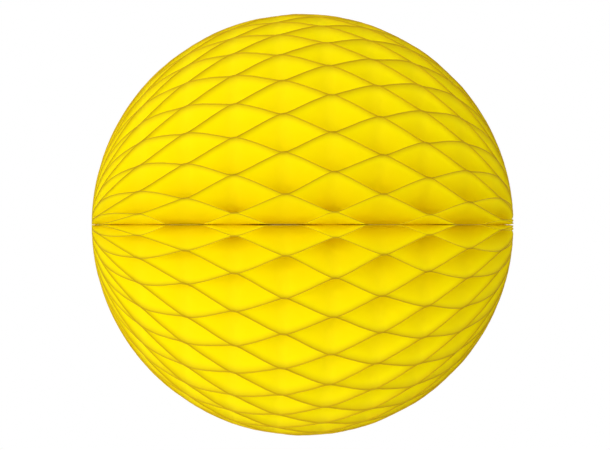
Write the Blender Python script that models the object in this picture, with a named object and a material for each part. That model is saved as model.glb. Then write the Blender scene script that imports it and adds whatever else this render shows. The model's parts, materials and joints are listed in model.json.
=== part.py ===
# Paper honeycomb ball: half-round tissue leaves fanned all the way round one straight spine.
#
# The spine lies on the X axis, +Z is up, and the seam where the first and the last leaf meet faces -Y.
# Leaves are glued to their neighbours along narrow lines at right angles to the spine. Even lines join
# the two leaves of a pair, odd lines join neighbouring pairs, and between the lines the leaves bow
# apart into diamond cells. Each pair is one closed solid: two thin walls, one at the spine and at the
# even lines, with cells that open at the rim.

import math

import bpy

# Driving dimensions, in metres and degrees
BALL_RADIUS = 0.125           # spine to rim of an open leaf
PAIR_COUNT = 37               # glued pairs of leaves in the whole turn
WALL = 0.00015                # thickness that stands for one leaf
GAP = 0.0003                  # clearance between neighbouring pieces
GLUE_PITCH = 0.025            # from one glue line to the next along the spine
GLUE_WIDTH = 0.003            # width of a glue line
FIRST_LINE = 0.0056           # the even glue line nearest to the middle of the spine
SEAM_NODE_ANGLE = 2.5         # from the seam to the first pair, at the rim
SEAM_CONTACT = 0.018          # length along the spine over which the closed seam touches
SPINE_SEAM_DEPTH = 0.0015     # depth over which a pair is glued solid at the spine
POLE_RIM_RADIUS = 0.006       # radius at which a leaf's rim ends at the poles
POLE_STEP_ANGLE = 9.0         # largest turn between rim points past the last glue line
TAPE_THICKNESS = 0.0001
TAPE_DEPTH = 0.007            # towards the spine
TAPE_INSET = 0.0015           # from the rim to the tape
TAPE_LENGTH = 0.014           # along the spine
SPINE_FACES = 24              # sides of the binding's tube
KNOT_RADIUS = 0.0026
KNOT_LENGTH = 0.0032

# What follows from them
PAIR_PITCH = math.tau / PAIR_COUNT
LEAF_STEP = (math.tau - 2 * math.radians(SEAM_NODE_ANGLE)) / (2 * PAIR_COUNT - 2)
BASE_RADIUS = (2 * WALL + GAP) / (2 * math.tan(PAIR_PITCH / 2)) * 1.04
SPINE_RADIUS = BASE_RADIUS - GAP
POCKET_RADIUS = BASE_RADIUS + SPINE_SEAM_DEPTH
POLE_X = math.sqrt(BALL_RADIUS ** 2 - POLE_RIM_RADIUS ** 2)
CLOSED_REACH = POLE_X - POLE_RIM_RADIUS / 3
TAPE_GAP = TAPE_THICKNESS + 2 * GAP

YELLOW = (1.0, 0.79, 0.01, 1.0)
WHITE = (0.9, 0.88, 0.8, 1.0)


def material(name, colour, roughness):
    """One plain finish."""
    made = bpy.data.materials.new(name)
    made.use_nodes = True
    shader = made.node_tree.nodes["Principled BSDF"]
    shader.inputs["Base Color"].default_value = colour
    shader.inputs["Roughness"].default_value = roughness
    shader.inputs["Metallic"].default_value = 0.0
    return made


def add_object(name, points, faces, finish, smooth=False):
    """A mesh object whose points are in world metres, with its origin on the spine's axis."""
    mesh = bpy.data.meshes.new(name)
    mesh.from_pydata(points, [], faces)
    mesh.materials.append(finish)
    mesh.validate()
    if smooth:
        mesh.shade_smooth()
    made = bpy.data.objects.new(name, mesh)
    bpy.context.scene.collection.objects.link(made)
    return made


def polar(x, radius, angle, offset=0.0):
    """A point at an angle from the seam, turned up about the spine, and an offset sideways from it."""
    return (
        x,
        -radius * math.cos(angle) + offset * math.sin(angle),
        radius * math.sin(angle) + offset * math.cos(angle),
    )


def rim_radius(x):
    """Radius of the half-round rim over a point on the spine."""
    return math.sqrt(BALL_RADIUS ** 2 - x ** 2)


def glue_lines(even):
    """Places along the spine of the even or of the odd glue lines that a leaf is long enough for."""
    reach = BALL_RADIUS - GLUE_PITCH / 5
    first = FIRST_LINE if even else FIRST_LINE - GLUE_PITCH
    count = int(BALL_RADIUS / GLUE_PITCH) + 2
    places = [first + 2 * GLUE_PITCH * step for step in range(-count, count + 1)]
    return [x for x in places if abs(x) < reach]


def pole_stations(last, end):
    """Places between the last glue line and a pole, even in angle round the rim."""
    start, stop = (math.asin(x / BALL_RADIUS) for x in (last, end))
    steps = max(1, math.ceil(abs(stop - start) / math.radians(POLE_STEP_ANGLE)))
    return [BALL_RADIUS * math.sin(start + (stop - start) * i / steps) for i in range(1, steps)]


def interpolate(knots, x):
    """Value at x on the straight runs between (x, value) knots."""
    for (x0, v0), (x1, v1) in zip(knots, knots[1:]):
        if x <= x1:
            return v0 + (v1 - v0) * (x - x0) / (x1 - x0)
    return knots[-1][1]


def wall_knots(node, meet, clearance, contact):
    """Rim angle of a wall's outer face: at its own node on even lines, at the meeting plane on odd ones.

    Past the last line on each side the leaf hangs between the two.
    """
    side = math.copysign(1.0, meet - node)
    lines = [(x, True) for x in glue_lines(True)] + [(x, False) for x in glue_lines(False)]
    knots = []
    for x, even in sorted(lines):
        half = (GLUE_WIDTH if even else contact) / 2
        for end in (max(x - half, -CLOSED_REACH), min(x + half, CLOSED_REACH)):
            radius = rim_radius(end)
            angle = node + side * WALL / radius if even else meet - side * clearance / 2 / radius
            knots.append((end, angle))
    loose = (node + meet) / 2
    return [(-POLE_X, loose)] + knots + [(POLE_X, loose)]


def leaf_pair(name, number, finish):
    """Two leaves glued together on the even lines and along the spine."""
    base = PAIR_PITCH * (number - 0.5)
    node = math.radians(SEAM_NODE_ANGLE) + 2 * LEAF_STEP * (number - 1)
    first, last = number == 1, number == PAIR_COUNT
    sides = []
    for side, at_seam in ((-1, first), (1, last)):
        seam = 0.0 if side < 0 else math.tau
        meet = seam if at_seam else node + side * LEAF_STEP
        clearance = TAPE_GAP if at_seam else GAP
        contact = SEAM_CONTACT if at_seam else GLUE_WIDTH
        sides.append((side, wall_knots(node, meet, clearance, contact)))

    places = {x for _, knots in sides for x, _ in knots}
    glued = sorted(x for x, _ in sides[0][1][1:-1])
    for last_line, end in ((glued[0], -POLE_X), (glued[-1], POLE_X)):
        places.update(pole_stations(last_line, end))
    stations = sorted(places)
    even_lines = glue_lines(True)

    def solid(x):
        """True on an even glue line, where the two leaves are one."""
        return any(abs(x - line) < GLUE_WIDTH / 2 + 1e-9 for line in even_lines)

    points, faces = [], []

    def put(point):
        points.append(point)
        return len(points) - 1

    outer, inner, base_row = {}, {}, {}
    for side, knots in sides:
        for x in stations:
            radius, angle = rim_radius(x), interpolate(knots, x)
            outer[side, x] = put(polar(x, radius, angle))
            base_row[side, x] = put(polar(x, BASE_RADIUS, base, side * WALL))
            if not solid(x):
                inner[side, x] = put(polar(x, radius, angle - side * WALL / radius))
    pocket = {x: put(polar(x, POCKET_RADIUS, base)) for x in stations}
    for x in stations:
        if solid(x):
            shared = put(polar(x, rim_radius(x), node))
            inner[-1, x] = inner[1, x] = shared

    def face(side, *corners):
        """Corners run round the outside of the lower wall; the upper wall's are the other way round."""
        faces.append(corners if side < 0 else corners[::-1])

    for x0, x1 in zip(stations, stations[1:]):
        filled = solid(x0) and solid(x1)
        rising = solid(x1) or not solid(x0) and interpolate(sides[0][1], x1) > interpolate(sides[0][1], x0)
        for side in (-1, 1):
            a, b = base_row[side, x0], base_row[side, x1]
            c, d = outer[side, x1], outer[side, x0]
            p, q = pocket[x0], pocket[x1]
            r, s = inner[side, x1], inner[side, x0]
            if rising:
                face(side, a, b, d)
                face(side, b, c, d)
            else:
                face(side, a, b, c)
                face(side, a, c, d)
            face(side, d, c, r, s)
            if filled:
                continue
            if rising:
                face(side, s, q, p)
                face(side, s, r, q)
            else:
                face(side, s, r, p)
                face(side, r, q, p)
        faces.append((base_row[-1, x0], base_row[1, x0], base_row[1, x1], base_row[-1, x1]))
    for x, turn in ((stations[0], 1), (stations[-1], -1)):
        low = [base_row[-1, x], outer[-1, x], inner[-1, x], pocket[x]]
        high = [pocket[x], inner[1, x], outer[1, x], base_row[1, x]]
        for corners in (low, high, [base_row[-1, x], pocket[x], base_row[1, x]]):
            faces.append(tuple(corners[::turn]))
    used = sorted({corner for corners in faces for corner in corners})
    renumbered = {old: new for new, old in enumerate(used)}
    kept = [points[old] for old in used]
    closed = [tuple(renumbered[corner] for corner in corners) for corners in faces]
    return add_object(name, kept, closed, finish)


def box(name, low, high, finish):
    """A straight block between two corners."""
    corners = [(x, y, z) for x in (low[0], high[0]) for y in (low[1], high[1]) for z in (low[2], high[2])]
    faces = [(0, 1, 3, 2), (4, 6, 7, 5), (0, 4, 5, 1), (2, 3, 7, 6), (0, 2, 6, 4), (1, 5, 7, 3)]
    return add_object(name, corners, faces, finish)


def turned(name, profile, count, finish):
    """A closed round piece about the spine's axis, from (x, radius) points that start and end on it."""
    (start, _), *rings, (end, _) = profile
    points = [(start, 0.0, 0.0)]
    for x, radius in rings:
        points += [polar(x, radius, math.tau * step / count) for step in range(count)]
    points.append((end, 0.0, 0.0))
    tip = len(points) - 1
    faces = []
    for step in range(count):
        after = (step + 1) % count
        faces.append((0, 1 + step, 1 + after))
        for ring in range(len(rings) - 1):
            here, there = 1 + ring * count, 1 + (ring + 1) * count
            faces.append((here + step, there + step, there + after, here + after))
        final = 1 + (len(rings) - 1) * count
        faces.append((final + step, tip, final + after))
    return add_object(name, points, faces, finish, smooth=True)


def seam_tape(name, x, finish):
    """Double-sided tape between the first and the last leaf, just inside the rim."""
    half = TAPE_LENGTH / 2
    outside = rim_radius(abs(x) + half) - TAPE_INSET
    low = (x - half, -outside, -TAPE_THICKNESS / 2)
    high = (x + half, TAPE_DEPTH - outside, TAPE_THICKNESS / 2)
    return box(name, low, high, finish)


def spine_binding(name, finish):
    """The bound straight edges: thread and glue, drawn as one round cord between the knots."""
    end = POLE_X - KNOT_LENGTH - GAP
    return turned(name, [(-end, 0), (-end, SPINE_RADIUS), (end, SPINE_RADIUS), (end, 0)], SPINE_FACES, finish)


def knot(name, side, finish):
    """A small round knot in the hollow at a pole."""
    middle = POLE_X - KNOT_LENGTH / 2
    steps = 6
    profile = []
    for step in range(steps + 1):
        turn = math.pi * step / steps
        x = side * middle - KNOT_LENGTH / 2 * math.cos(turn)
        profile.append((x, KNOT_RADIUS * math.sin(turn)))
    return turned(name, profile, SPINE_FACES // 2, finish)


def main():
    for old in list(bpy.data.objects):
        bpy.data.objects.remove(old, do_unlink=True)
    tissue = material("tissue", YELLOW, 0.85)
    thread = material("binding_thread", WHITE, 0.9)
    tape = material("closing_tape", WHITE, 0.5)

    hub = bpy.data.objects.new("spine_axis", None)
    bpy.context.scene.collection.objects.link(hub)
    pieces = [leaf_pair(f"leaf_pair_{n:02d}", n, tissue) for n in range(1, PAIR_COUNT + 1)]
    pieces.append(spine_binding("spine_binding", thread))
    pieces += [knot("knot_left", -1, thread), knot("knot_right", 1, thread)]
    pieces += [seam_tape(f"seam_tape_{n}", x, tape) for n, x in enumerate(glue_lines(False)[1:], 1)]
    for piece in pieces:
        piece.parent = hub


main()
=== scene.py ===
# Looks of a tissue paper honeycomb ball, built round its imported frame.
# The spine lies along X, the seam between the first and the last leaf faces -Y, and +Z is up.

import json
import math

import bpy
import numpy as np
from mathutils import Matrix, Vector


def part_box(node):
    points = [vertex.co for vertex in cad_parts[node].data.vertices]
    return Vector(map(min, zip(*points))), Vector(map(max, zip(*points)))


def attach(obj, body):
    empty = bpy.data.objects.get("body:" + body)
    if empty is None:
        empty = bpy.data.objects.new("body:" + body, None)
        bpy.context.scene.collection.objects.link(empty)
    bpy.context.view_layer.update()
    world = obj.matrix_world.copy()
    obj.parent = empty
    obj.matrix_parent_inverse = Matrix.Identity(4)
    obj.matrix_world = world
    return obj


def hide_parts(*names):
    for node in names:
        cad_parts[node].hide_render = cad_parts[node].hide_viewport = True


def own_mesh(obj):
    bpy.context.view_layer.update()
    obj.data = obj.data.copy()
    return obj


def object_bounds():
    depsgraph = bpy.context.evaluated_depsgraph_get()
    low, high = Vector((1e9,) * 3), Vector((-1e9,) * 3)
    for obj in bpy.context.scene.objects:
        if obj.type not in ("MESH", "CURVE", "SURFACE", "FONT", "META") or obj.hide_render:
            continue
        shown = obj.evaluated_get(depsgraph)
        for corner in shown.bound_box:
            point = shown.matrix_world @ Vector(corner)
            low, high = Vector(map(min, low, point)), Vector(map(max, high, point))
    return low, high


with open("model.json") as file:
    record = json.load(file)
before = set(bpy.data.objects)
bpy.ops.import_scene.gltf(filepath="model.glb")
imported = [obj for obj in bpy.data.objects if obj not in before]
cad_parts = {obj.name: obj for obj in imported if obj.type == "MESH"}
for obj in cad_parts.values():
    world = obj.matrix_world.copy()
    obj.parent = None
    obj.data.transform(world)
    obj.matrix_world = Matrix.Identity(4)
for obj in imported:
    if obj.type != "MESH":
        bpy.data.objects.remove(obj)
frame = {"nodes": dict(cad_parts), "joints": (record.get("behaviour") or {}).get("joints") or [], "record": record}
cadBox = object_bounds()
print("frame loaded:", len(frame["nodes"]), "nodes")


# measures taken from the frame

def nodesNamed(start):
    # the frame's nodes whose names start like this, in order
    return sorted(n for n in frame["nodes"] if n.startswith(start))


def bodyOf(node):
    # the body that carries a node
    return next(b for b, nodes in frame["record"]["behaviour"]["bodies"].items() if node in nodes)


def jointOf(body):
    # the joint that turns a body, or None for the one that stands still
    return next((j["name"] for j in frame["joints"] if j["child"] == body), None)


pairNodes = nodesNamed("leaf_pair_")
leafCount = 2 * len(pairNodes)
ballRadius = max(abs(v) for corner in cadBox for v in corner)
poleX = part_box(pairNodes[0])[1].x
tapeMiddles = [sum(c.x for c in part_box(n)) / 2 for n in nodesNamed("seam_tape_")]
gluePitch = (tapeMiddles[1] - tapeMiddles[0]) / 2
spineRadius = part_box("spine_binding")[1].z


# shader maths as Python expressions

class Sock:
    # wraps a socket, so that + - * on sockets and numbers add Math nodes

    def __init__(self, tree, socket):
        self.tree, self.socket = tree, socket

    def maths(self, operation, first, second=0.0):
        return self.tree.node("ShaderNodeMath", {"operation": operation}, {0: first, 1: second})

    def __add__(self, other):
        return self.maths("ADD", self, other)

    def __sub__(self, other):
        return self.maths("SUBTRACT", self, other)

    def __rsub__(self, other):
        return self.maths("SUBTRACT", other, self)

    def __mul__(self, other):
        return self.maths("MULTIPLY", self, other)

    __radd__, __rmul__ = __add__, __mul__

    def waved(self):
        # the sine of the value
        return self.maths("SINE", self)

    def clamped(self, low, high):
        # 0 where the value is low or less, 1 where it is high or more, smooth between
        return self.tree.node("ShaderNodeMapRange", {"interpolation_type": "SMOOTHSTEP"},
                              {"Value": self, "From Min": low, "From Max": high})


class Tree:
    # the nodes of a new material or world

    def __init__(self, name, kind=bpy.data.materials):
        self.owner = kind.new(name)
        self.owner.use_nodes = True
        self.nodes = self.owner.node_tree.nodes
        self.links = self.owner.node_tree.links
        self.nodes.clear()

    def node(self, kind, settings=None, inputs=None, output=0):
        # adds a node of a type: its settings first, then a value or a link for each input; a material's
        # or a world's last node has nothing to give on
        made = self.nodes.new(kind)
        for key, value in (settings or {}).items():
            setattr(made, key, value)
        for key, value in (inputs or {}).items():
            if isinstance(value, Sock):
                self.links.new(value.socket, made.inputs[key])
            else:
                made.inputs[key].default_value = value
        return Sock(self, made.outputs[output] if made.outputs else None)

    def mixed(self, factor, first, second):
        # a colour that goes from first to second as factor goes from 0 to 1
        return self.node("ShaderNodeMix", {"data_type": "RGBA"}, {0: factor, 6: first, 7: second}, 2)

    def attribute(self, name):
        # the number that the mesh holds under this name at each point
        return self.node("ShaderNodeAttribute", {"attribute_name": name}, output="Fac")

    def place(self, scale=(1, 1, 1), turn=(0, 0, 0)):
        # the piece's own coordinates, scaled and turned
        where = self.node("ShaderNodeTexCoord", output="Object")
        return self.node("ShaderNodeMapping", None, {"Vector": where, "Scale": scale, "Rotation": turn})

    def noise(self, vector, scale, detail, roughness=0.5):
        # soft random blots, scale of them to the metre, with finer ones added by detail
        return self.node("ShaderNodeTexNoise", None,
                         {"Vector": vector, "Scale": scale, "Detail": detail, "Roughness": roughness})

    def bump(self, height, strength, distance):
        # a normal that tilts as height rises and falls
        return self.node("ShaderNodeBump", None,
                         {"Height": height, "Strength": strength, "Distance": distance})

    def finish(self, shader, output="ShaderNodeOutputMaterial"):
        self.node(output, None, {"Surface": shader})
        return self.owner


def rgb(red, green, blue):
    # a colour, wholly opaque
    return (red, green, blue, 1.0)


leaves = {
    "stock": 0.0001,            # thickness of the tissue
    "rimStock": 0.0002,         # thickness at the cut rim, which frays a little
    "frayDepth": 0.005,         # width of the band over which it thickens
    "contact": 0.00009,         # half of the air left between glued leaves
    "air": 0.00006,             # least air between two leaves anywhere
    "glueGlow": 0.006,          # distance over which the paper looks lighter beside a glue line
    "glueWidth": 0.003,         # flat stretch on each glue line
    "firstSpot": 2.5,           # angle from the seam to the first pair's glue plane, in degrees
    "seamContact": 0.009,       # half of the stretch over which the seam is closed
    "seamSlit": [0.00012, 0.00012, 0.0006, 0.00012, 0.00012],   # height of the slit left in each one
    "seamOpenings": [4.0, 2.9, 2.9, 2.7, 2.4],   # half height of the seam's open cells, in degrees
    "seamPocket": 0.032,        # depth behind the rim at which the angles below are reached
    "seamShut": 0.08,           # first and last leaf behind the seam's cells, in degrees from the seam
    "seamSpread": 0.07,         # and behind the stretches where the seam is closed
    "pull": 17.0,               # sets how far the other leaves are drawn to the seam there, in degrees
    "firstPull": 2.0,           # what is added to it right beside the seam
    "firstPullReach": 4.0,      # and the angle over which that dies away
    "softness": 0.14,           # 0: straight creases between the glue lines, 1: round waves
    "unevenAngle": 0.16,        # how far a glued spot strays round the spine, in degrees
    "seamStray": 0.3,           # share of that stray which is left beside the seam
    "unevenPlace": 0.00035,     # how far it strays along the spine
    "cutWave": 0.00012,         # how far the cut rim strays
    "cutWaves": (310, 530, 970),   # and how fast its three waves run along the spine
    "cellColumns": 12,          # mesh columns from one glue line to the next
    "poleColumns": (8, 14),     # and past the last glue line on the left and on the right
    "poleTrim": 0.99995,        # share of the way to the pole that the mesh reaches
    "lastPlace": 0.98,          # share of it that a glued stretch may reach
    "rows": 12,                 # mesh rows from the spine to the rim
    "rowCrowding": 1.6,         # 1: even rows, more: closer together near the rim
    "bindingGap": 0.0003,       # from the spine's binding to a leaf's bound edge
    "keep": 0.025,              # share of the spread that is left when the ball is folded
    "seed": 11,
}


def glueLines():
    # the lines lie one pitch apart, none nearer to the poles than a fifth of that; on every second one
    # the seam is closed and the two leaves of each pair are joined, on the others each pair to the next
    reach = ballRadius - gluePitch / 5
    first = tapeMiddles[0] - gluePitch * math.floor((tapeMiddles[0] + reach) / gluePitch)
    places = np.arange(first, reach, gluePitch)
    joinsPairs = np.round((places - tapeMiddles[0]) / gluePitch).astype(int) % 2 == 0
    return places, joinsPairs


opening = math.radians(leaves["firstSpot"])
step = (math.tau - 2 * opening) / (leafCount - 2)


def gluedSpots(rng, lines, joinsPairs):
    # angle round the spine of every glued spot: even steps from the seam, plus a small random stray;
    # spot k lies between leaf k and leaf k + 1, and 0 and the last one are the seam; deep holds the same
    # angles further in, where the seam's cells have closed and its taped stretches have opened
    angles = np.concatenate(([0], opening + step * np.arange(leafCount - 1), [math.tau]))
    spots = np.repeat(angles[:, None], len(lines), axis=1)
    stray = rng.normal(0, math.radians(leaves["unevenAngle"]), spots.shape)
    stray[[0, 1, -2, -1]] *= leaves["seamStray"]
    stray[[0, -1]] = 0
    for line, half in zip(np.flatnonzero(~joinsPairs), leaves["seamOpenings"]):
        spots[1, line], spots[-2, line] = math.radians(half), math.tau - math.radians(half)
    spots = spots + stray
    fromSeam = np.minimum(spots, math.tau - spots)
    reach = math.radians(leaves["pull"])
    pull = reach * fromSeam / (reach + fromSeam) * (1 - fromSeam / math.pi)
    fade = np.exp((opening + step - fromSeam) / math.radians(leaves["firstPullReach"]))
    pull += math.radians(leaves["firstPull"]) * fade
    deep = spots + np.where(fromSeam < opening + step / 2, 0, pull) * np.where(spots < math.pi, -1, 1)
    closed = ~joinsPairs
    shut, spread = (math.radians(leaves[key]) for key in ("seamShut", "seamSpread"))
    deep[1, closed], deep[-2, closed] = shut, math.tau - shut
    deep[0, joinsPairs], deep[-1, joinsPairs] = spread, math.tau - spread
    return spots, deep


def eased(t, softness):
    # a straight run mixed with half a cosine wave
    return (1 - softness) * t + softness * (0.5 - 0.5 * np.cos(np.pi * t))


def leafColumns(lines):
    # places along the spine: flats on the glue lines, even steps between, and even angles at the poles
    half = leaves["glueWidth"] / 2
    runs = [np.linspace(a + half, b - half, leaves["cellColumns"]) for a, b in zip(lines, lines[1:])]
    limit = poleX * leaves["poleTrim"]
    countLeft, countRight = leaves["poleColumns"]
    left = -ballRadius * np.sin(np.linspace(math.asin(limit / ballRadius),
                                            math.asin(-(lines[0] - half) / ballRadius), countLeft))
    right = ballRadius * np.sin(np.linspace(math.asin((lines[-1] + half) / ballRadius),
                                            math.asin(limit / ballRadius), countRight))
    return np.unique(np.round(np.concatenate([left, *runs, right]), 7))


def leafAngles(number, columns, lines, joinsPairs, spots, shifts):
    # rim angle of one leaf along the spine: on each glue line it sits at the spot that it is glued at,
    # a hair to its own side, and eases from one to the next; past the last line it hangs in the middle
    odd = number % 2 == 1
    gap = leaves["stock"] / 2 + leaves["contact"]
    places, values = [], []
    for index, line in enumerate(lines):
        below = joinsPairs[index] == odd
        spot = number - 1 if below else number
        angle = spots[spot, index]
        seam = spot in (0, leafCount)
        half = leaves["seamContact"] if seam and 0 < index else leaves["glueWidth"] / 2
        at = line + (0 if seam else shifts[spot, index])
        aside = gap + (leaves["seamSlit"][index // 2] / 2 if seam else 0)
        last = poleX * leaves["lastPlace"]
        ends = np.clip([at - half, at + half], -last, last)
        radius = np.sqrt(ballRadius ** 2 - ends ** 2)
        places += list(ends)
        values += list(angle + (1 if below else -1) * aside / radius)
    loose = [(spots[number - 1, end] + spots[number, end]) / 2 for end in (0, -1)]
    places = np.array([-poleX, *places, poleX])
    values = np.array([loose[0], *values, loose[1]])
    run = np.clip(np.searchsorted(places, columns, side="right") - 1, 0, len(places) - 2)
    t = (columns - places[run]) / (places[run + 1] - places[run])
    return values[run] + (values[run + 1] - values[run]) * eased(np.clip(t, 0, 1), leaves["softness"])


def closedSheet(name, middle, aside, thickness, masks):
    # a thin closed sheet: the grid of middle points moved half the thickness to each side along aside,
    # joined round all four edges; masks are named values for each grid point
    columns, rows = middle.shape[:2]
    upper = middle + aside * thickness / 2
    lower = middle - aside * thickness / 2
    points = np.concatenate([upper, lower[:, ::-1]], axis=1)
    ring = 2 * rows
    index = np.arange(columns * ring).reshape(columns, ring)
    here, there = index[:-1], index[1:]
    sides = np.stack([here, there, np.roll(there, -1, 1), np.roll(here, -1, 1)], -1).reshape(-1, 4)
    r = np.arange(rows - 1)
    first, last = index[0], index[-1]
    capFirst = np.stack([first[r], first[r + 1], first[ring - 2 - r], first[ring - 1 - r]], -1)
    capLast = np.stack([last[ring - 1 - r], last[ring - 2 - r], last[r + 1], last[r]], -1)
    faces = np.concatenate([sides, capFirst, capLast])
    return meshObject(name, points.reshape(-1, 3), faces,
                      {key: np.concatenate([v, v[:, ::-1]], axis=1).ravel() for key, v in masks.items()})


def meshObject(name, points, faces, masks=None, crease=50):
    # a mesh object from arrays of points and four-cornered faces, turned inside in if its volume is negative
    a, b, c, d = (points[faces[:, i]] for i in range(4))
    volume = (np.einsum("ij,ij->i", a, np.cross(b, c)) + np.einsum("ij,ij->i", a, np.cross(c, d))).sum()
    if volume < 0:
        faces = faces[:, ::-1]
    mesh = bpy.data.meshes.new(name)
    mesh.from_pydata(points.tolist(), [], faces.tolist())
    for key, values in (masks or {}).items():
        mesh.attributes.new(key, "FLOAT", "POINT").data.foreach_set("value", values.astype(np.float32))
    mesh.shade_smooth()
    mesh.set_sharp_from_angle(angle=math.radians(crease))
    made = bpy.data.objects.new(name, mesh)
    bpy.context.scene.collection.objects.link(made)
    return made


def around(radius, angle):
    # the point at an angle from the seam, turned up about the spine, as (Y, Z)
    return np.stack([-radius * np.cos(angle), radius * np.sin(angle)], -1)


def leafGrid(number, columns, lines, joinsPairs, spots, deep, shifts, rng):
    # straight lines from the bound edge at the spine to the rim, whose angle waves from glue line to
    # glue line; the rim follows the half circle, and behind it the angle eases to the deep one.
    # Gives the angle, the radius and the depth behind the rim of every grid point.
    baseAngle = math.tau * (number - 0.5) / leafCount
    base = around(spineRadius + leaves["bindingGap"], np.array(baseAngle))
    angle, inside = (leafAngles(number, columns, lines, joinsPairs, s, shifts) for s in (spots, deep))
    waves = sum(np.sin(columns * f + p) for f, p in zip(leaves["cutWaves"], rng.uniform(0, math.tau, 3)))
    rimRadius = np.sqrt(ballRadius ** 2 - columns ** 2) - leaves["cutWave"] * (1 + waves / 3)
    t = 1 - (1 - np.linspace(0, 1, leaves["rows"])) ** leaves["rowCrowding"]
    depth = (1 - t)[None] * rimRadius[:, None]
    closing = np.clip(depth / leaves["seamPocket"], 0, 1)
    rowAngle = angle[:, None] + (inside - angle)[:, None] * closing * closing * (3 - 2 * closing)
    across = base + (around(rimRadius[:, None], rowAngle) - base) * t[None, :, None]
    found = np.arctan2(across[..., 1], -across[..., 0])
    turned = baseAngle + (found - baseAngle + math.pi) % math.tau - math.pi
    return turned, np.hypot(across[..., 0], across[..., 1]), depth


def spaced(angles, gaps):
    # leaves counted from the seam are pushed away from it until each one is at least a gap past the last,
    # and the first one half a gap past the seam
    steps = (np.arange(len(angles)) + 0.5)[:, None, None] * gaps
    return np.maximum.accumulate(np.maximum(angles - steps, 0), axis=0) + steps


def buildLeaf(number, columns, lines, angle, radius, depth, thickness, tone):
    # the grid's points, made a sheet that is as thick as given; the glue line's mask falls from 1 on
    # a line to 0 a glow's width away
    across = around(radius, angle)
    middle = np.concatenate([np.broadcast_to(columns[:, None, None], across.shape[:2] + (1,)), across], -1)
    along = math.tau * (number - 0.5) / leafCount
    nearest = np.abs(columns[:, None] - lines[None]).min(1)
    glue = np.clip(1 - nearest / leaves["glueGlow"], 0, 1)
    masks = {
        "glueLine": np.repeat(glue[:, None], leaves["rows"], 1),
        "rimDepth": depth,
        "leafTone": np.full(depth.shape, tone),
    }
    return closedSheet(f"leaf_{number:02d}", middle, np.array([0, math.sin(along), math.cos(along)]),
                       thickness[..., None], masks)


tissueLook = {
    "yellow": rgb(1.0, 0.972, 0.001),
    "deep": rgb(0.98, 0.91, 0.001),
    # painted shade: brown at the cut rim and ochre behind it, standing in for the shade in the creases between the
    # leaves
    "rimShade": rgb(0.50, 0.31, 0.0),
    "rimBandShade": rgb(0.60, 0.42, 0.0),
    "through": rgb(1.0, 0.978, 0.0),
    "glued": rgb(1.0, 1.0, 0.02),
    "share": 0.76,              # share of the light that passes through
    "shareGlue": 0.82,          # and on a glue line
    "rimShadeDepth": 0.0013,        # width of the strongest painted shade, at the cut rim
    "rimBandShadeDepth": 0.006,         # and of the softer painted shade, an ochre band, behind it
    "fibreScale": 900,
    "cloudScale": 70,
    "crinkleScale": 160,
    "roughness": 0.82,
    "bumpStrength": 0.3,
    "bumpDepth": 0.0006,
}


def tissueMaterial():
    # yellow paper, mottled by fibres and clouds and paler on the glue lines, with painted shade along the cut rim:
    # an ochre band and then brown at the rim itself, standing in for the shade in the creases between the leaves;
    # it is a matt surface mixed with a layer that lets light through, less at the rim so that the painted shade
    # shows
    look = tissueLook
    tree = Tree("tissue_paper")
    fibres = tree.noise(tree.place(scale=(1, 2.2, 2.2)), look["fibreScale"], 3.0, 0.6)
    clouds = tree.noise(tree.place(), look["cloudScale"], 2.0)
    crinkle = tree.noise(tree.place(scale=(1, 0.6, 0.6)), look["crinkleScale"], 3.0, 0.55)
    glue, depth, tone = (tree.attribute(n) for n in ("glueLine", "rimDepth", "leafTone"))
    mottling = fibres.clamped(0.35, 0.7) * 0.5 + clouds.clamped(0.3, 0.7) * 0.3 + tone * 0.2
    # masks of the painted shade along the cut rim, a narrow strong one and a wide soft one
    rim = 1 - depth.clamped(0.0, look["rimShadeDepth"])
    rimBandShade = 1 - depth.clamped(0.0, look["rimBandShadeDepth"])
    body = tree.mixed(glue * 0.7, tree.mixed(mottling, look["yellow"], look["deep"]), look["glued"])
    # the painted crease shade is laid over the paper's colour
    colour = tree.mixed(rim * 0.85, tree.mixed(rimBandShade * 0.75, body, look["rimBandShade"]), look["rimShade"])
    share = look["share"] + (look["shareGlue"] - look["share"]) * glue + fibres * 0.1 - 0.05
    # less light passes through near the rim, so that the painted shade shows
    share = share * (1 - rim * 0.7) * (1 - rimBandShade * 0.5)
    height = crinkle * 0.7 + fibres * 0.3
    normal = tree.bump(height, look["bumpStrength"], look["bumpDepth"])
    front = tree.node("ShaderNodeBsdfPrincipled", None,
                      {"Base Color": colour, "Roughness": look["roughness"], "Specular IOR Level": 0.2,
                       "Normal": normal})
    back = tree.node("ShaderNodeBsdfTranslucent", None, {"Color": look["through"], "Normal": normal})
    return tree.finish(tree.node("ShaderNodeMixShader", None, {0: share, 1: front, 2: back}))


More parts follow.
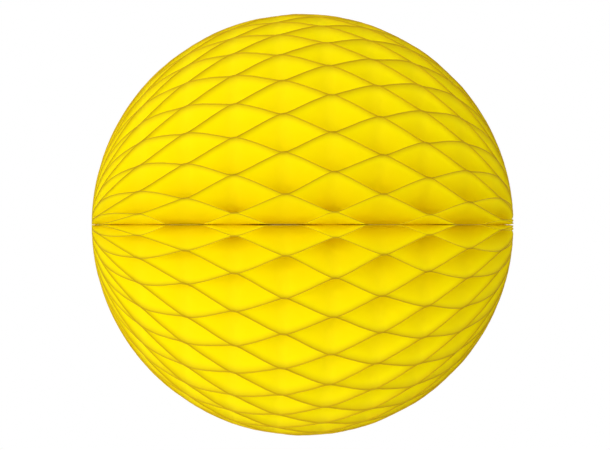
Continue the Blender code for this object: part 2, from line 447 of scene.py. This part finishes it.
def buildLeaves():
    # all grids are worked out first and spaced from the seam round to the back on each side, and then
    # each becomes a sheet, two to a pair
    rng = np.random.default_rng(leaves["seed"])
    lines, joinsPairs = glueLines()
    columns = leafColumns(lines)
    spots, deep = gluedSpots(rng, lines, joinsPairs)
    shifts = rng.normal(0, leaves["unevenPlace"], spots.shape)
    tissue = tissueMaterial()
    grids = [leafGrid(number, columns, lines, joinsPairs, spots, deep, shifts, rng)
             for number in range(1, leafCount + 1)]
    angles, radii, depths = (np.array(values) for values in zip(*grids))
    frayed = np.clip(1 - depths.min(0) / leaves["frayDepth"], 0, 1)
    thickness = leaves["stock"] + (leaves["rimStock"] - leaves["stock"]) * frayed
    gaps = (thickness + leaves["air"]) / radii.min(0)
    half = leafCount // 2
    near, far = angles[:half], math.tau - angles[half:][::-1]
    angles = np.concatenate([spaced(near, gaps), math.tau - spaced(far, gaps)[::-1]])
    for index, node in enumerate(pairNodes):
        body = bodyOf(node)
        joint = jointOf(body) or jointOf(bodyOf(pairNodes[0]))
        for number in (2 * index + 1, 2 * index + 2):
            at = number - 1
            leaf = buildLeaf(number, columns, lines, angles[at], radii[at], depths[at],
                             thickness, rng.uniform())
            leaf.data.materials.append(tissue)
            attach(leaf, body)
            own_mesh(leaf)
            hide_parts(node)
    print("leaves:", leafCount, "of", len(columns), "by", leaves["rows"], "points a side")


threads = {
    "strands": 3,               # strands of the binding cord
    "strandTwist": 0.016,       # length in which a strand goes once round
    "strandPlace": 0.5,         # from the cord's middle to a strand's, as a share of the cord's radius
    "strandRadius": 0.47,       # and a strand's own radius
    "twistPoints": 14,          # mesh rings in one turn of a strand
    "knotThread": 0.0005,       # radius of the thread wound into each knot
    "knotTurns": 5.5,
    "knotPoints": 90,           # mesh rings along that thread
    "light": rgb(0.93, 0.89, 0.76),
    # the colour below is painted shade for the grooves between the fibres
    "grooveShade": rgb(0.68, 0.60, 0.40),
}


def sweep(name, path, radius, sides=10, drawnIn=0.6):
    # a round closed tube along a path: at each point a ring across the path's direction, drawn in by
    # a share of the radius at both ends
    path = np.asarray(path)
    ahead = np.gradient(path, axis=0)
    ahead /= np.linalg.norm(ahead, axis=1, keepdims=True)
    u = np.cross(ahead, [1.0, 0.0, 0.0])
    u /= np.linalg.norm(u, axis=1, keepdims=True)
    v = np.cross(ahead, u)
    turn = np.linspace(0, math.tau, sides, endpoint=False)
    cosine, sine = np.cos(turn)[None, :, None], np.sin(turn)[None, :, None]
    rings = path[:, None] + radius * (u[:, None] * cosine + v[:, None] * sine)
    rings[0] += (path[0] - rings[0]) * drawnIn
    rings[-1] += (path[-1] - rings[-1]) * drawnIn
    count = len(path)
    index = np.arange(count * sides).reshape(count, sides)
    here, there = index[:-1], index[1:]
    faces = np.stack([here, there, np.roll(there, -1, 1), np.roll(here, -1, 1)], -1).reshape(-1, 4)
    points = np.concatenate([rings.reshape(-1, 3), path[:1], path[-1:]])
    tip, end = len(points) - 2, len(points) - 1
    pairs = np.arange(0, sides, 2)
    cap = [np.stack([np.full(len(pairs), middle), ring[(pairs + order[0]) % sides], ring[(pairs + 1) % sides],
                     ring[(pairs + order[1]) % sides]], -1)
           for middle, ring, order in ((tip, index[0], (0, 2)), (end, index[-1], (2, 0)))]
    return meshObject(name, points, np.concatenate([faces, *cap]), crease=70)


def threadMaterial():
    # pale thread with painted shade in the hollows between its fibres, where the bump is low, and a fine slanting
    # wave for the ply
    tree = Tree("binding_thread")
    look = threads
    strands = tree.noise(tree.place(scale=(1, 3, 3)), 1200, 3.0)
    fuzz = tree.noise(tree.place(), 4000, 2.0)
    ply = tree.place(scale=(9000, 9000, 9000), turn=(0.4, 0.5, 0.3)).waved()
    # the same noise and ply wave as the bump, so the painted shade falls in its hollows
    grooveShadeMask = strands * 0.6 + ply * 0.15 + 0.1
    colour = tree.mixed(grooveShadeMask.clamped(0.2, 0.6), look["grooveShade"], look["light"])
    normal = tree.bump(strands * 0.5 + ply * 0.2 + fuzz * 0.2, 0.6, 0.0002)
    return tree.finish(tree.node("ShaderNodeBsdfPrincipled", None,
                                 {"Base Color": colour, "Roughness": fuzz * 0.15 + 0.75, "Normal": normal}))


def tapeMaterial():
    # hazy pale tape, between two colours and a little uneven in its shine
    tree = Tree("closing_tape")
    haze = tree.noise(tree.place(), 500, 2.0)
    colour = tree.mixed(haze, rgb(0.92, 0.88, 0.66), rgb(0.96, 0.93, 0.78))
    return tree.finish(tree.node("ShaderNodeBsdfPrincipled", None,
                                 {"Base Color": colour, "Roughness": haze * 0.2 + 0.35}))


def joined(name, pieces):
    # one object from several, under the name given
    first = pieces[0]
    with bpy.context.temp_override(active_object=first, selected_editable_objects=pieces):
        bpy.ops.object.join()
    first.name = name
    return first


def buildThreads():
    # strands run as helices along the binding's box; a knot is one helix along its own box, whose
    # radius swells and falls in half a wave
    finish = threadMaterial()
    low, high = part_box("spine_binding")
    across = spineRadius * threads["strandPlace"]
    x = np.linspace(low.x, high.x, int((high.x - low.x) / threads["strandTwist"] * threads["twistPoints"]))
    strands = []
    for k in range(threads["strands"]):
        turn = math.tau * (x / threads["strandTwist"] + k / threads["strands"])
        path = np.stack([x, across * np.cos(turn), across * np.sin(turn)], -1)
        strands.append(sweep(f"strand_{k}", path, spineRadius * threads["strandRadius"]))
    made = [("spine_binding", joined("binding_cord", strands))]
    for node in ("knot_left", "knot_right"):
        low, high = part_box(node)
        thin = threads["knotThread"]
        t = np.linspace(0, 1, threads["knotPoints"])
        turn = math.tau * threads["knotTurns"] * t
        radius = (high.z - thin) * (0.35 + 0.65 * np.sin(np.pi * np.clip(t * 1.02, 0, 1)) ** 0.6)
        along = low.x + thin + (high.x - low.x - 2 * thin) * t
        path = np.stack([along, radius * np.cos(turn), radius * np.sin(turn)], -1)
        made.append((node, sweep(node + "_wound", path, thin, 8)))
    for node, piece in made:
        piece.data.materials.clear()
        piece.data.materials.append(finish)
        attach(piece, bodyOf(node))
        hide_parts(node)


tapes = {
    "columns": 15,              # mesh columns along each tape
    "rows": 5,                  # and rows across it
    "corner": 0.0012,           # radius of its rounded corners
    "thickness": 0.6,           # share of its node's height
    "ripple": 0.00001,          # height of the small waves in it
    "ripples": 900,             # and how fast they run along it
}


def buildTapes():
    # a thin strip of the box's length and depth, with rounded corners, attached to the body that carries its node
    finish = tapeMaterial()
    for node in nodesNamed("seam_tape_"):
        low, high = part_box(node)
        x = np.linspace(low.x, high.x, tapes["columns"])
        fromEnd = np.clip(np.minimum(x - low.x, high.x - x) / tapes["corner"], 0, 1)
        inset = tapes["corner"] * (1 - np.sqrt(1 - (1 - fromEnd) ** 2))
        share = np.linspace(0, 1, tapes["rows"])[None]
        y = (low.y + inset)[:, None] * (1 - share) + (high.y - inset)[:, None] * share
        ripple = tapes["ripple"] * np.sin(x * tapes["ripples"])[:, None] * np.sin(share * math.pi)
        middle = np.stack([np.broadcast_to(x[:, None], y.shape), y, ripple + (low.z + high.z) / 2], -1)
        thickness = (high.z - low.z) * tapes["thickness"]
        strip = closedSheet(node + "_strip", middle, np.array([0, 0, 1.0]), thickness, {})
        strip.data.materials.append(finish)
        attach(strip, bodyOf(node))
        jointOf(bodyOf(node))
        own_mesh(strip)
        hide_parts(node)


studio = {
    "floorDrop": 0.62,          # from the ball's centre down to the floor
    "floorSize": 14.0,
    "floorFade": (0.9, 2.0),    # distances from the ball's centre over which the floor goes to plain white
    "worldStrength": 0.9,
    "keyPlace": (-0.9, -1.45, 0.1),
    "keySize": 0.8,
    "keyPower": 14,
    "distance": 5.6,            # camera to ball centre, in ball radii
    "turn": 5.0,                # camera round to the left pole, in degrees
    "lens": 68.613,             # focal length in mm, for a frame 36 mm wide
    "shift": (0.00393, -0.00049),   # how far the view is slid across and up, in frame widths
    "bounces": 56,              # light has to find its way into the cells through many leaves
}


def buildFloor():
    # a square, a plain pale colour near the ball; further off the eye and reflections see it plain white
    half = studio["floorSize"] / 2
    z = -studio["floorDrop"]
    corners = [(-half, -half, z), (half, -half, z), (half, half, z), (-half, half, z)]
    mesh = bpy.data.meshes.new("floor")
    mesh.from_pydata(corners, [], [(0, 1, 2, 3)])
    floor = bpy.data.objects.new("floor", mesh)
    bpy.context.scene.collection.objects.link(floor)
    tree = Tree("floor_white")
    where = tree.node("ShaderNodeTexCoord", output="Object")
    away = tree.node("ShaderNodeVectorMath", {"operation": "LENGTH"}, {0: where}, "Value")
    plain = tree.node("ShaderNodeBsdfDiffuse", None, {"Color": rgb(0.9, 0.9, 0.9)})
    white = tree.node("ShaderNodeEmission", None, {"Color": rgb(1, 1, 1), "Strength": 1.0})
    rays = [tree.node("ShaderNodeLightPath", output=name) for name in ("Is Camera Ray", "Is Glossy Ray")]
    seen = (rays[0] + rays[1]).clamped(0.0, 1.0)
    fade = seen * away.clamped(*studio["floorFade"])
    mesh.materials.append(tree.finish(tree.node("ShaderNodeMixShader", None, {0: fade, 1: plain, 2: white})))


def buildWorld():
    # soft white light from all sides, which the eye sees as plain white
    tree = Tree("studio", bpy.data.worlds)
    soft = tree.node("ShaderNodeBackground", None,
                     {"Color": rgb(1, 1, 1), "Strength": studio["worldStrength"]})
    white = tree.node("ShaderNodeBackground", None, {"Color": rgb(1, 1, 1), "Strength": 1.0})
    seen = tree.node("ShaderNodeLightPath", output="Is Camera Ray")
    shown = tree.node("ShaderNodeMixShader", None, {0: seen, 1: soft, 2: white})
    bpy.context.scene.world = tree.finish(shown, "ShaderNodeOutputWorld")


def aimed(made, place):
    # puts an object at a place and turns its -Z at the ball's centre, with +Y up
    made.location = place
    made.rotation_euler = (-Vector(place)).to_track_quat("-Z", "Y").to_euler()


def addLamp(name, place, size, power):
    # a round soft lamp, aimed at the ball
    lamp = bpy.data.lights.new(name, "AREA")
    lamp.shape, lamp.size, lamp.energy = "DISK", size, power
    made = bpy.data.objects.new(name, lamp)
    bpy.context.scene.collection.objects.link(made)
    aimed(made, place)


def buildCamera():
    # level with the ball's centre, some radii away and turned a little to the left pole
    turn = math.radians(studio["turn"])
    away = studio["distance"] * ballRadius
    camera = bpy.data.objects.new("camera", bpy.data.cameras.new("camera"))
    bpy.context.scene.collection.objects.link(camera)
    camera.data.lens = studio["lens"]
    camera.data.shift_x, camera.data.shift_y = studio["shift"]
    aimed(camera, (-away * math.sin(turn), -away * math.cos(turn), 0))
    bpy.context.scene.camera = camera


def buildStudio():
    # floor, world, one lamp and the camera
    buildFloor()
    buildWorld()
    addLamp("key_front_left", studio["keyPlace"], studio["keySize"], studio["keyPower"])
    buildCamera()
    scene = bpy.context.scene
    scene.view_settings.view_transform = "Standard"
    scene.cycles.max_bounces = studio["bounces"]
    scene.cycles.diffuse_bounces = studio["bounces"]
    scene.cycles.transmission_bounces = studio["bounces"]
    print("studio built")


buildLeaves()
buildThreads()
buildTapes()
print("threads and tapes done")
buildStudio()
